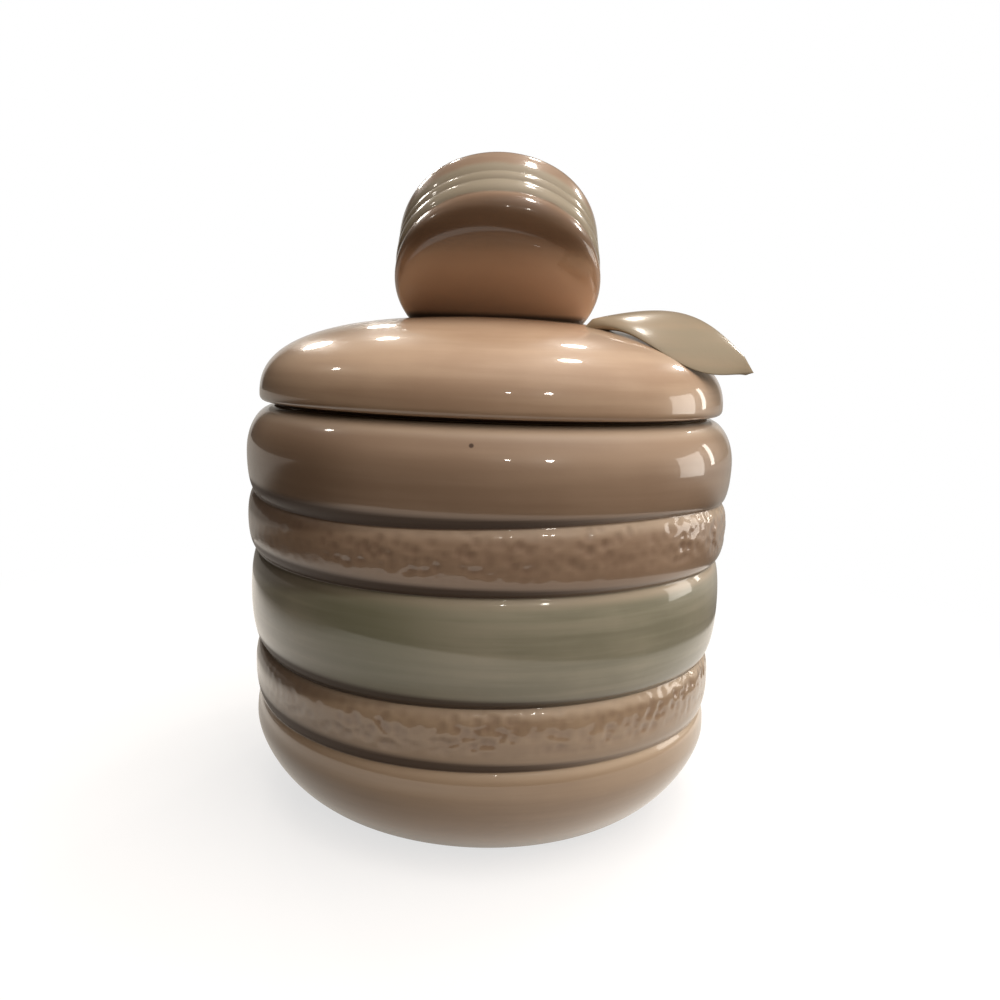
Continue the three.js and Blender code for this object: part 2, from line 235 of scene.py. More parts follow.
# Heights and radii that follow
LOWEST_GROOVE = BOTTOM_SHELL_HEIGHT
LOW_FILLING_GROOVE = LOWEST_GROOVE + LOWER_FOOT_HEIGHT
HIGH_FILLING_GROOVE = LOW_FILLING_GROOVE + FILLING_HEIGHT
HIGHEST_GROOVE = HIGH_FILLING_GROOVE + UPPER_FOOT_HEIGHT
RIM_HEIGHT = HIGHEST_GROOVE + TOP_SHELL_HEIGHT
CAVITY_FLOOR = FOOT_RECESS_DEPTH + FLOOR_THICKNESS
BOTTOM_SHELL_RADIUS = WALL_RADIUS - BOTTOM_SHELL_INSET
LOWER_FOOT_RADIUS = WALL_RADIUS - LOWER_FOOT_INSET
FILLING_RADIUS = WALL_RADIUS - FILLING_INSET
UPPER_FOOT_RADIUS = WALL_RADIUS - UPPER_FOOT_INSET
FOOT_RING_RADIUS = WALL_RADIUS - FOOT_RING_INSET
FOOT_RECESS_RADIUS = FOOT_RING_RADIUS - FOOT_RING_WIDTH
MOUTH_RADIUS = WALL_RADIUS - MOUTH_INSET
LID_RADIUS = WALL_RADIUS - LID_INSET
LID_SEAT_HEIGHT = RIM_HEIGHT + SEAT_GAP
LID_WIDE_HEIGHT = LID_SEAT_HEIGHT + LID_LIP_HEIGHT
LID_TOP_HEIGHT = LID_WIDE_HEIGHT + LID_DOME_HEIGHT
FLANGE_RADIUS = MOUTH_RADIUS - FLANGE_GAP
FLANGE_INNER_RADIUS = FLANGE_RADIUS - FLANGE_THICKNESS
SEAL_TOP = LID_SEAT_HEIGHT - SEAL_SEAT_TOP - SEAL_GAP
SEAL_FOOT = SEAL_TOP - SEAL_HEIGHT
FLANGE_FOOT = SEAL_FOOT - SEAL_GAP - FLANGE_TOE_HEIGHT
KNOB_HEIGHT = LID_TOP_HEIGHT + KNOB_RISE

# Grooves and widest places of the wall, from the table up, as radius and height
GROOVES = [
    (min(BOTTOM_SHELL_RADIUS, LOWER_FOOT_RADIUS) - LOWEST_GROOVE_DEPTH, LOWEST_GROOVE),
    (min(LOWER_FOOT_RADIUS, FILLING_RADIUS) - LOW_FILLING_GROOVE_DEPTH, LOW_FILLING_GROOVE),
    (min(FILLING_RADIUS, UPPER_FOOT_RADIUS) - HIGH_FILLING_GROOVE_DEPTH, HIGH_FILLING_GROOVE),
    (min(UPPER_FOOT_RADIUS, WALL_RADIUS) - HIGHEST_GROOVE_DEPTH, HIGHEST_GROOVE),
]
WIDES = [
    (BOTTOM_SHELL_RADIUS, BOTTOM_SHELL_WIDE_HEIGHT),
    (LOWER_FOOT_RADIUS, LOWEST_GROOVE + LOWER_FOOT_HEIGHT * BAND_WIDE_SHARE),
    (FILLING_RADIUS, LOW_FILLING_GROOVE + FILLING_HEIGHT * BAND_WIDE_SHARE),
    (UPPER_FOOT_RADIUS, HIGH_FILLING_GROOVE + UPPER_FOOT_HEIGHT * BAND_WIDE_SHARE),
    (WALL_RADIUS, RIM_HEIGHT - TOP_SHELL_WIDE_DROP),
]
FOOT_BANDS = [(LOWEST_GROOVE, LOW_FILLING_GROOVE), (HIGH_FILLING_GROOVE, HIGHEST_GROOVE)]

# Heights between which the wander is blended, and the tip and swing at each
WANDERS = [
    (FOOT_RECESS_DEPTH, NO_WANDER),
    (LOWEST_GROOVE, LOWEST_GROOVE_WANDER),
    (LOW_FILLING_GROOVE, LOW_FILLING_GROOVE_WANDER),
    (HIGH_FILLING_GROOVE, HIGH_FILLING_GROOVE_WANDER),
    (HIGHEST_GROOVE, HIGHEST_GROOVE_WANDER),
    (RIM_HEIGHT - MOUTH_LAND_HEIGHT, NO_WANDER),
]


# Outlines, as rows of radius and height
def corner(start, end, power, steps=CURVE_STEPS):
    """A rounded quarter from start, where it runs upright, to end, where it runs level."""
    turn = np.linspace(0, math.pi / 2, steps + 1)
    across = np.clip(np.cos(turn), 0, 1) ** (2 / power)
    along = np.clip(np.sin(turn), 0, 1) ** (2 / power)
    radius = end[0] + (start[0] - end[0]) * across
    height = start[1] + (end[1] - start[1]) * along
    return np.stack([radius, height], 1)


def band(start, wide, end, low_power=RING_POWER, high_power=RING_POWER):
    """A bulging ring from start through its widest place to end."""
    low = corner(wide, start, low_power)[::-1]
    high = corner(wide, end, high_power)
    return np.concatenate([low, high[1:]])


def chain(*stretches):
    """Stretches joined end to end, without the points that repeat."""
    points = np.concatenate([np.atleast_2d(np.array(s, float)) for s in stretches])
    apart = np.linalg.norm(np.diff(points, axis=0), axis=1) > SAME_POINT
    return points[np.concatenate([[True], apart])]


def evened(points, spacing):
    """An outline with its points at an even spacing, its two ends kept."""
    length = np.concatenate([[0], np.cumsum(np.linalg.norm(np.diff(points, axis=0), axis=1))])
    places = np.linspace(0, length[-1], max(2, round(length[-1] / spacing)) + 1)
    return np.stack([np.interp(places, length, points[:, i]) for i in range(2)], 1)


def softened(points, spacing, softness):
    """An evened outline with its creases rounded by a weighted mean along it, its two ends kept."""
    reach = math.ceil(SOFTENING_REACH * softness / spacing)
    weights = np.exp(-0.5 * (np.arange(-reach, reach + 1) * spacing / softness) ** 2)
    longer = np.pad(points, ((reach, reach), (0, 0)), mode="reflect", reflect_type="odd")
    columns = [np.convolve(longer[:, i], weights / weights.sum(), "valid") for i in range(2)]
    return np.stack(columns, 1)


# Surfaces
def turned(profile, steps):
    """Rows of points round the Z axis. Angle 0 is the front, -Y, and a quarter turn is +X."""
    angle = np.arange(steps) * 2 * math.pi / steps
    radius = profile[:, :1]
    height = np.repeat(profile[:, 1:], steps, axis=1)
    return np.stack([radius * np.sin(angle), -radius * np.cos(angle), height], 2)


def turn_of(grid):
    """How far round each point is, from the front towards the right, between -pi and pi."""
    return np.arctan2(grid[..., 0], -grid[..., 1])


def press_in(points, inset):
    """Moves points towards the Z axis by their insets, or by less within a millimetre of it."""
    radius = np.linalg.norm(points[:, :2], axis=1, keepdims=True)
    points[:, :2] -= points[:, :2] / np.maximum(radius, 1) * inset[:, None]


def smooth_share(low, high, value):
    """0 below low and 1 above high, eased between them."""
    share = np.clip((value - low) / (high - low), 0, 1)
    return share * share * (3 - 2 * share)


def hump(value, foot, full, late, end):
    """1 between full and late, eased to 0 at foot and end."""
    return smooth_share(foot, full, value) * (1 - smooth_share(late, end, value))


def uneven(place, spacing, seed=0.0):
    """Slow noise from 0 to 1 over points."""
    shift = Vector([seed * skew for skew in SEED_SKEW])
    return np.array([noise.noise(Vector(p) / spacing + shift) for p in place]) * 0.5 + 0.5


def link_object(name, data):
    """A new object in the scene that shows the data."""
    thing = bpy.data.objects.new(name, data)
    bpy.context.collection.objects.link(thing)
    return thing


def skin(name, grid, closed_rows=False, **marks):
    """A smooth object from rows of points. A row that shrinks to one point becomes a pole. Each mark
    is an attribute with a value for each row or each point."""
    rows, steps = grid.shape[:2]
    spread = np.ptp(grid, axis=1).max(axis=1)
    index = np.zeros((rows, steps), int)
    points = []
    values = {key: [] for key in marks}
    whole = {}
    for key, mark in marks.items():
        whole[key] = np.broadcast_to(np.reshape(mark, (rows, -1)), (rows, steps))
    for row in range(rows):
        first = len(points)
        if spread[row] < SAME_POINT:
            points.append(grid[row, 0])
            index[row] = first
        else:
            points.extend(grid[row])
            index[row] = first + np.arange(steps)
        for key, mark in whole.items():
            values[key].extend(mark[row, : len(points) - first])
    above = np.roll(index, -1, axis=0) if closed_rows else index[1:]
    below = index if closed_rows else index[:-1]
    quads = np.stack([below, np.roll(below, -1, 1), np.roll(above, -1, 1), above], 2).reshape(-1, 4)
    faces = [list(dict.fromkeys(quad)) for quad in quads.tolist()]
    mesh = bpy.data.meshes.new(name)
    mesh.from_pydata((np.array(points) * MM).tolist(), [], [f for f in faces if len(f) > 2])
    mesh.shade_smooth()
    for key, value in values.items():
        attribute = mesh.attributes.new(key, "FLOAT", "POINT")
        attribute.data.foreach_set("value", np.array(value, np.float32))
    return link_object(name, mesh)


def face_out(piece):
    """Turns the faces outwards where the rows were given the other way round."""
    mesh = piece.data
    volume = 0
    for face in mesh.polygons:
        volume += face.center.dot(face.normal) * face.area
    if volume < 0:
        mesh.flip_normals()
    return piece


# Wall of the jar
def outer_wall():
    foot = (FOOT_RING_RADIUS, 0)
    rim = (MOUTH_RADIUS + RIM_WIDTH, RIM_HEIGHT)
    return chain(
        band(foot, WIDES[0], GROOVES[0], BOTTOM_POWER, RING_POWER),
        band(GROOVES[0], WIDES[1], GROOVES[1]),
        band(GROOVES[1], WIDES[2], GROOVES[2]),
        band(GROOVES[2], WIDES[3], GROOVES[3]),
        band(GROOVES[3], WIDES[4], rim, RING_POWER, RIM_POWER),
    )


def inner_wall():
    mouth_edge = (MOUTH_RADIUS + MOUTH_ROUND_RADIUS, RIM_HEIGHT)
    mouth_top = (MOUTH_RADIUS, RIM_HEIGHT - MOUTH_ROUND_RADIUS)
    side = (BOTTOM_SHELL_RADIUS - WALL_THICKNESS, CAVITY_FLOOR + FLOOR_ROUND_RADIUS)
    stretches = [
        corner(mouth_top, mouth_edge, RIM_POWER, ROUND_STEPS)[::-1],
        (MOUTH_RADIUS, RIM_HEIGHT - MOUTH_LAND_HEIGHT),
    ]
    for wide, groove in zip(WIDES[:0:-1], GROOVES[::-1]):
        stretches.append((wide[0] - WALL_THICKNESS, wide[1]))
        stretches.append((groove[0] - GROOVE_WALL_THICKNESS, groove[1]))
    stretches.append(corner(side, (side[0] - FLOOR_ROUND_RADIUS, CAVITY_FLOOR), RIM_POWER))
    stretches.append((0, CAVITY_FLOOR))
    return chain(*stretches)


def wall_profile():
    """The whole outline, from the middle of the underside to the middle of the floor inside, with the
    level of each of its points and the slice of it that is the outside."""
    underside = chain(
        (0, FOOT_RECESS_DEPTH),
        (FOOT_RECESS_RADIUS - FOOT_RECESS_DEPTH, FOOT_RECESS_DEPTH),
        (FOOT_RECESS_RADIUS, 0),
        (FOOT_RING_RADIUS, 0),
    )
    underside = evened(underside, INNER_SPACING)
    outside = softened(evened(outer_wall(), OUTER_SPACING), OUTER_SPACING, GROOVE_SOFTNESS)
    profile = chain(underside, outside, evened(inner_wall(), INNER_SPACING))
    first = len(underside) - 1
    shown = slice(first, first + len(outside))
    recess = underside[:, 0] < FOOT_RECESS_RADIUS - INNER_SPACING
    level = np.full(len(profile), INSIDE_MARK)
    level[: len(underside)] = np.where(recess, INSIDE_MARK, BARE_MARK)
    level[shown] = profile[shown, 1]
    return profile, level, shown


def wander(grid):
    """Moves the rows up and down so that the grooves wander, and leaves base and mouth level."""
    heights = [height for height, _ in WANDERS]
    turn = turn_of(grid)
    reach = np.minimum(np.hypot(grid[..., 0], grid[..., 1]) / FOOT_RING_RADIUS, 1)
    tip = np.interp(grid[..., 2], heights, [tip for _, (tip, _) in WANDERS])
    swing = np.interp(grid[..., 2], heights, [swing for _, (_, swing) in WANDERS])
    grid[..., 2] += (tip * np.sin(turn) + swing * np.sin(2 * turn)) * reach
    return grid


def pitted(place, level):
    """How far each point of a foot band lies below its smooth surface, and how deep in a pit it is."""
    inset = np.zeros(len(place))
    depth = np.zeros(len(place))
    calm = 1 - PIT_CALM_SHARE * np.exp(-(((turn_of(place) - PIT_CALM_TURN) / PIT_CALM_WIDTH) ** 2))
    for low, high in FOOT_BANDS:
        share = (level - low) / (high - low)
        fade = hump(share, PIT_START_SHARE, PIT_LOWER_LIP_SHARE, 1 - PIT_UPPER_LIP_SHARE, 1)
        for i in np.nonzero(fade > 0)[0]:
            point = Vector(place[i])
            near = noise.voronoi(point / PIT_SPACING)[0][0]
            pit = max(0, 1 - (near / PIT_REACH) ** 2)
            patch = smooth_share(*PIT_PATCH_NOISE, noise.noise(point / PIT_PATCH_SPACING))
            patch = PIT_LEAST_SHARE + (1 - PIT_LEAST_SHARE) * patch
            lump = 0.5 - 0.5 * noise.noise(point / LUMP_SPACING)
            depth[i] = fade[i] * pit * patch
            inset[i] = calm[i] * (PIT_DEPTH * depth[i] + LUMP_DEPTH * lump * fade[i])
    return inset, depth


def groove_shades(level, turn):
    """How much painted shade, over some dark glaze pooled in the grooves, lies at each point of the
    wall, and how much painted light is on an edge.
    """
    gaps = [level[:, None] - height for _, height in GROOVES]
    reach = SHADE_POOL_REACH - SHADE_POOL_SWING * np.sin(turn)
    pools = [hump(gap, -SHADE_POOL_BELOW, 0, SHADE_POOL_FULL_SHARE * reach, reach) for gap in gaps]
    pool = np.max(pools, axis=0) * (1 - LIT_RIGHT_SHARE * hump(turn, *LIT_RIGHT_TURNS))
    left = hump(-turn, *SHADE_WEDGE_TURNS)
    wedge = SHADE_WEDGE_LEAST + SHADE_WEDGE_REACH * left
    for gap in gaps[1:]:
        here = hump(gap, -wedge, -wedge / 2, -SHADE_POOL_BELOW, 0)
        pool = np.maximum(pool, SHADE_WEDGE_SHARE * np.sqrt(left) * here)
    edges = [hump(gap, -LIT_EDGE_REACH, -LIT_EDGE_FULL, -SHADE_POOL_BELOW, 0) for gap in gaps]
    edge = np.max(edges, axis=0) * np.maximum(LIT_EDGE_MIDDLE + LIT_EDGE_SWING * np.sin(turn), 0)
    return pool, edge + LIT_RIM * smooth_share(*LIT_RIM_HEIGHTS, level)[:, None]


def make_wall():
    profile, level, rows = wall_profile()
    grid = turned(profile, WALL_STEPS)
    shown = grid[rows].reshape(-1, 3)
    shown_level = np.repeat(level[rows], WALL_STEPS)
    inset, depth = pitted(shown, shown_level)
    slow = uneven(shown, UNEVEN_SPACING) * smooth_share(*UNEVEN_FOOT, shown_level)
    press_in(shown, inset + UNEVEN_DEPTH * slow)
    grid[rows] = shown.reshape(-1, WALL_STEPS, 3)
    pit = np.zeros(grid.shape[:2])
    pit[rows] = depth.reshape(-1, WALL_STEPS)
    # Painted shade above the grooves and painted light on the edges below them
    pool, edge = groove_shades(level, turn_of(grid))
    return face_out(skin("jar_wall", wander(grid), level=level, pit=pit, pool=pool, edge=edge))


# Lid
def dome_height(radius):
    share = np.minimum(radius / LID_RADIUS, 1)
    return LID_WIDE_HEIGHT + LID_DOME_HEIGHT * (1 - share**LID_POWER) ** (1 / LID_POWER)


def past_vent_hole(dome):
    return dome[dome[:, 0] > VENT_HOLE_RADIUS]


def lid_outside():
    wide = (LID_RADIUS, LID_WIDE_HEIGHT)
    lip = (LID_RADIUS - LID_LIP_EDGE, LID_WIDE_HEIGHT - LID_LIP_DROP)
    seat = (LID_RADIUS - LID_LIP_WIDTH - LID_LIP_RECESS, LID_SEAT_HEIGHT)
    return chain(
        corner(seat, lip, RIM_POWER, ROUND_STEPS),
        corner(wide, lip, RIM_POWER)[::-1],
        past_vent_hole(corner(wide, (0, LID_TOP_HEIGHT), LID_POWER, DOME_STEPS)),
        (VENT_HOLE_RADIUS, float(dome_height(VENT_HOLE_RADIUS))),
    )


def lid_inside():
    ledge = LID_SEAT_HEIGHT + SEAT_THICKNESS
    side = (LID_RADIUS - LID_THICKNESS - SEAT_ROUND_RADIUS, ledge)
    wide = (LID_RADIUS - LID_THICKNESS, ledge + SEAT_ROUND_RADIUS)
    top = (0, LID_TOP_HEIGHT - LID_THICKNESS)
    dome = past_vent_hole(corner(wide, top, LID_POWER, INNER_DOME_STEPS))
    return chain(
        (VENT_HOLE_RADIUS, dome[-1, 1]),
        dome[::-1],
        corner(wide, side, RIM_POWER, ROUND_STEPS),
        (FLANGE_INNER_RADIUS + FLANGE_ROUND_RADIUS, ledge),
        (FLANGE_INNER_RADIUS, ledge - FLANGE_ROUND_RADIUS),
    )


def flange():
    seat = FLANGE_RADIUS - SEAL_SEAT_DEPTH
    around = FLANGE_FOOT + FLANGE_ROUND_RADIUS
    inner_toe = (FLANGE_INNER_RADIUS + FLANGE_ROUND_RADIUS, FLANGE_FOOT)
    outer_toe = (FLANGE_RADIUS - FLANGE_ROUND_RADIUS, FLANGE_FOOT)
    return chain(
        corner((FLANGE_INNER_RADIUS, around), inner_toe, RIM_POWER, ROUND_STEPS),
        corner((FLANGE_RADIUS, around), outer_toe, RIM_POWER, ROUND_STEPS)[::-1],
        (FLANGE_RADIUS, SEAL_FOOT - SEAL_GAP),
        (seat, SEAL_FOOT - SEAL_GAP),
        (seat, SEAL_TOP + SEAL_GAP),
        (FLANGE_RADIUS, SEAL_TOP + SEAL_GAP),
        (FLANGE_RADIUS, LID_SEAT_HEIGHT),
    )


def make_lid():
    """The lid, with its rows moved back near the middle, round the vent hole under the knob."""
    outside = evened(lid_outside(), OUTER_SPACING)
    profile = chain(lid_inside(), flange(), outside)
    grid = turned(profile, LID_STEPS)
    blend = 1 - smooth_share(VENT_HOLE_RADIUS, VENT_BLEND_REACH, profile[:, :1])
    grid[..., 0] += blend * KNOB_OFFSET
    grid[..., 1] += blend * VENT_HOLE_BACK
    rows = np.arange(len(profile)) >= len(profile) - len(outside)
    dome = rows & (profile[:, 1] > LID_WIDE_HEIGHT)
    shown = grid[dome].reshape(-1, 3)
    height = dome_height(np.hypot(shown[:, 0], shown[:, 1]))
    height -= UNEVEN_DEPTH * uneven(shown, UNEVEN_SPACING, LID_SEED)
    grid[dome, :, 2] = height.reshape(-1, LID_STEPS)
    level = np.where(rows, profile[:, 1] - LID_SEAT_HEIGHT, INSIDE_MARK)
    return face_out(skin("lid_dome", grid, closed_rows=True, level=level))


# Knob
def knob_outline():
    def groove(radius, place):
        return (radius - KNOB_GROOVE_DEPTH, place)

    front_radius = KNOB_RADIUS - KNOB_FRONT_SHELL_INSET
    back_foot_radius = KNOB_RADIUS - KNOB_BACK_FOOT_INSET
    back_radius = KNOB_RADIUS - KNOB_BACK_SHELL_INSET
    filling_front = groove(front_radius, -KNOB_FILLING_FRONT_DEPTH)
    filling_back = groove(back_foot_radius, -KNOB_FILLING_BACK_DEPTH)
    back = groove(back_radius, -KNOB_BACK_FOOT_DEPTH)
    front_shell = (front_radius, -KNOB_FRONT_SHELL_DEPTH)
    filling = (KNOB_RADIUS, -(KNOB_FILLING_FRONT_DEPTH + KNOB_FILLING_BACK_DEPTH) / 2)
    back_foot = (back_foot_radius, -(KNOB_FILLING_BACK_DEPTH + KNOB_BACK_FOOT_DEPTH) / 2)
    back_shell = (back_radius, KNOB_BACK_SHELL_DEPTH)
    return chain(
        corner(front_shell, (0, -KNOB_FRONT_DEPTH), KNOB_FRONT_POWER)[::-1],
        corner(front_shell, filling_front, RING_POWER),
        band(filling_front, filling, filling_back),
        band(filling_back, back_foot, back),
        corner(back_shell, back, RING_POWER)[::-1],
        corner(back_shell, (0, KNOB_BACK_DEPTH), KNOB_BACK_POWER),
    )


def make_knob():
    """The knob, leaning back by its tilt and flattened where it would sink too far into the lid."""
    outline = evened(knob_outline(), KNOB_SPACING)
    profile = softened(outline, KNOB_SPACING, KNOB_GROOVE_SOFTNESS)
    profile[:, 0] = np.maximum(profile[:, 0], 0)
    grid = turned(profile, KNOB_STEPS)
    own = grid.reshape(-1, 3)
    press_in(own, UNEVEN_DEPTH * uneven(own, KNOB_UNEVEN_SPACING, KNOB_SEED))
    tilt = np.array(Matrix.Rotation(-KNOB_TILT, 3, "X"))
    placed = own @ tilt.T + np.array([KNOB_OFFSET, 0, KNOB_HEIGHT])
    floor = dome_height(np.hypot(placed[:, 0], placed[:, 1])) - KNOB_SINK
    placed[:, 2] = np.maximum(placed[:, 2], floor)
    return face_out(skin("knob_macaron", placed.reshape(grid.shape), level=profile[:, 1]))


# Leaf
def plan_point(radius, angle):
    return np.array([radius * math.cos(angle), radius * math.sin(angle)])


def make_leaf():
    """The leaf, as sections from its root beside the knob to its tip past the lid's edge."""
    root_radius = KNOB_RADIUS + LEAF_KNOB_GAP
    root = plan_point(root_radius, LEAF_ROOT_ANGLE)
    tip = plan_point(LID_RADIUS + LEAF_TIP_REACH, LEAF_TIP_ANGLE)
    root_height = float(dome_height(root_radius)) - LEAF_ROOT_SINK
    tip_height = LID_WIDE_HEIGHT + LEAF_TIP_RISE
    share = 0.5 - 0.5 * np.cos(np.linspace(0, math.pi, LEAF_LENGTH_STEPS + 1))[:, None]
    turn = (np.arange(LEAF_SECTION_STEPS) * 2 * math.pi / LEAF_SECTION_STEPS)[None, :]
    half = LEAF_WIDTH / 2 * np.clip(np.sin(math.pi * share), 0, 1) ** LEAF_END_POWER
    across = half * np.cos(turn)
    side = np.sin(turn)
    thick = np.minimum(LEAF_THICKNESS / 2, half)
    skin_rise = thick * np.sign(side) * np.abs(side) ** (2 / LEAF_EDGE_POWER)
    swell = 4 * share * (1 - share)
    middle = root_height + (tip_height - root_height) * share + LEAF_ARCH * swell
    bank = LEAF_BANK_SHARE * share
    crown = LEAF_CROWN * (across / (LEAF_WIDTH / 2)) ** 2
    along = (tip - root) / np.linalg.norm(tip - root)
    aside = across + LEAF_BEND * swell
    x = root[0] + (tip[0] - root[0]) * share - along[1] * aside
    y = root[1] + (tip[1] - root[1]) * share + along[0] * aside
    z = middle + bank * across - crown + skin_rise
    radius = np.hypot(x, y)
    floor = np.where(radius < LID_RADIUS, dome_height(radius) - LEAF_SINK, 0)
    grid = np.stack([x, y, np.maximum(z, floor)], 2)
    return face_out(skin("lid_leaf", grid, level=across / np.maximum(half, 1)))


# Seal ring
def make_seal():
    inner = FLANGE_RADIUS - SEAL_SEAT_DEPTH + SEAL_GAP
    outer = FLANGE_RADIUS + SEAL_BAND_REACH
    fin = MOUTH_RADIUS - SEAL_GAP
    profile = chain(
        (inner, SEAL_FOOT),
        (fin, SEAL_FOOT),
        (fin, SEAL_FOOT + SEAL_FIN_HEIGHT),
        (outer, SEAL_FOOT + SEAL_FIN_HEIGHT),
        (outer, SEAL_TOP - SEAL_FIN_HEIGHT),
        (fin, SEAL_TOP - SEAL_FIN_HEIGHT),
        (fin, SEAL_TOP),
        (inner, SEAL_TOP),
    )
    piece = skin("seal_band", turned(profile, SEAL_STEPS), closed_rows=True)
    soften = piece.modifiers.new("soften", "BEVEL")
    soften.width = SEAL_EDGE_ROUND * MM
    soften.segments = SEAL_EDGE_STEPS
    soften.limit_method = "ANGLE"
    return face_out(piece)


# Nodes
def metres(*sizes):
    return tuple(size * MM for size in sizes)


def colour(red, green_shade, blue):
    """An sRGB colour, 0 to 255, as linear numbers."""
    def linear(value):
        value /= 255
        return value / 12.92 if value <= 0.04045 else ((value + 0.055) / 1.055) ** 2.4

    return (linear(red), linear(green_shade), linear(blue), 1)


def new_material(name):
    material = bpy.data.materials.new(name)
    material.use_nodes = True
    return material, material.node_tree


def feed(tree, node, **inputs):
    """Sets a node's settings and inputs to values, or links its inputs to other nodes' sockets. An
    input goes by its name, with _ for each space, or by _ and its number."""
    for key, value in inputs.items():
        if hasattr(node, key):
            setattr(node, key, value)
            continue
        socket = node.inputs[int(key[1:]) if key[0] == "_" else key.replace("_", " ")]
        if isinstance(value, bpy.types.NodeSocket):
            tree.links.new(value, socket)
        else:
            socket.default_value = value


def add(tree, kind, **inputs):
    node = tree.nodes.new(kind)
    feed(tree, node, **inputs)
    return node


def maths(tree, operation, *values, clamp=False):
    inputs = {f"_{i}": value for i, value in enumerate(values)}
    return add(tree, "ShaderNodeMath", operation=operation, use_clamp=clamp, **inputs).outputs[0]


def times(tree, first, *others):
    for other in others:
        first = maths(tree, "MULTIPLY", first, other)
    return first


def flipped(tree, share):
    return maths(tree, "SUBTRACT", 1.0, share)


def rising(tree, value, low, high):
    """0 below low and 1 above high, eased between them."""
    node = add(tree, "ShaderNodeMapRange", interpolation_type="SMOOTHSTEP", _0=value, _1=low, _2=high)
    return node.outputs[0]


def falling(tree, value, low, high):
    """1 below low and 0 above high, eased between them."""
    return flipped(tree, rising(tree, value, low, high))


def mixed(tree, share, a, b):
    """Colour a where the share is 0, and colour b where it is 1."""
    return add(tree, "ShaderNodeMix", data_type="RGBA", _0=share, _6=a, _7=b).outputs[2]


def tinted(tree, under, tint, mask, strength):
    """A colour with a tint over it, at its strength where the mask is 1 and none where it is 0."""
    return mixed(tree, maths(tree, "MULTIPLY", mask, strength, clamp=True), under, tint)


def shaders(tree, share, a, b):
    """Shader a where the share is 0, and shader b where it is 1."""
    return add(tree, "ShaderNodeMixShader", _0=share, _1=a, _2=b).outputs[0]


def attribute(tree, name):
    return add(tree, "ShaderNodeAttribute", attribute_name=name).outputs["Fac"]


def coordinate(tree, kind):
    return add(tree, "ShaderNodeTexCoord").outputs[kind]


def distance(tree, place, middle):
    return add(tree, "ShaderNodeVectorMath", operation="DISTANCE", _0=place, _1=middle).outputs["Value"]


def near_place(tree, place, middle, reach):
    """1 around a place, easing to 0 between the two distances of its reach."""
    return falling(tree, distance(tree, place, middle), *reach)


def noise_at(tree, place, scale, detail=3.0, stretch=(1, 1, 1)):
    mapping = add(tree, "ShaderNodeMapping", Vector=place, Scale=stretch)
    node = add(tree, "ShaderNodeTexNoise", Vector=mapping.outputs[0], Scale=scale, Detail=detail)
    return node.outputs[0]


# Colours of the glazes and how strongly their streaks show
PEACH = colour(185, 159, 136)
PEACH_DEEP = colour(160, 133, 112)
LOW_PEACH = colour(183, 160, 135)
LOW_PEACH_DEEP = colour(161, 137, 114)
PEACH_STREAKS = 0.5
PALE_PEACH = colour(213, 185, 158)
PALE_DEEP = colour(189, 158, 132)
PALE_STREAKS = 0.8
MINT = colour(182, 178, 158)
MINT_DEEP = colour(142, 142, 122)
MINT_STREAKS = 0.75
LEAF_MINT = colour(174, 155, 129)
LEAF_STREAKS = 0.35
# A darker copy of the peach for the knob's down-facing face, as painted shade
KNOB_SHADED_PEACH = colour(166, 136, 111)
KNOB_SHADED_PEACH_DEEP = colour(138, 108, 84)
KNOB_STREAKS = 0.6
BARE_CLAY = colour(214, 200, 182)
# Painted shade under the lid's lip, and painted contact shadow where the knob meets the lid
CONTACT_SHADOW = colour(62, 44, 32)

# Tints of the wall and how strongly they show, among them painted shade and painted light. Reaches are
# distances where a tint starts to fade out and where it ends.
PIT_TINT = colour(134, 106, 90)
PIT_STRENGTH = 0.46
# Painted light on the edges below the grooves and at the rim
LIT_EDGE_TINT = colour(234, 214, 190)
LIT_EDGE_STRENGTH = 0.38
# Painted shade above the grooves, with some pooled glaze; it also dulls the gloss there
SHADE_POOL_TINT = colour(66, 46, 32)
SHADE_POOL_STRENGTH = 0.92
SHADE_POOL_DULLNESS = 0.8
# A darker, greener patch of painted shade on the filling's left front
GREEN_SHADE = colour(122, 126, 98)
GREEN_SHADE_PLACE = metres(-37, -85, 80)
GREEN_SHADE_REACH = metres(4, 40)
GREEN_SHADE_STRENGTH = 0.6
# A brown patch of painted shade on the top shell's left front
BROWN_SHADE = colour(108, 82, 60)
BROWN_SHADE_PLACE = metres(-63, -71, 131)
BROWN_SHADE_REACH = metres(6, 34)
BROWN_SHADE_STRENGTH = 0.4
SPECK = colour(60, 34, 26)
SPECK_PLACE = metres(-5.5, -92.6, 144.8)
SPECK_REACH = metres(0.5, 1)
SPECK_STRENGTH = 0.85
BARE_FOOT_LEVELS = (0.6, 1.2)

# Lid: levels above its seat where the painted shade under its lip and the bare seat fade out
LIP_SHADE_LEVELS = (1.2, 1.6)
BARE_SEAT_LEVELS = (0.02, 0.2)

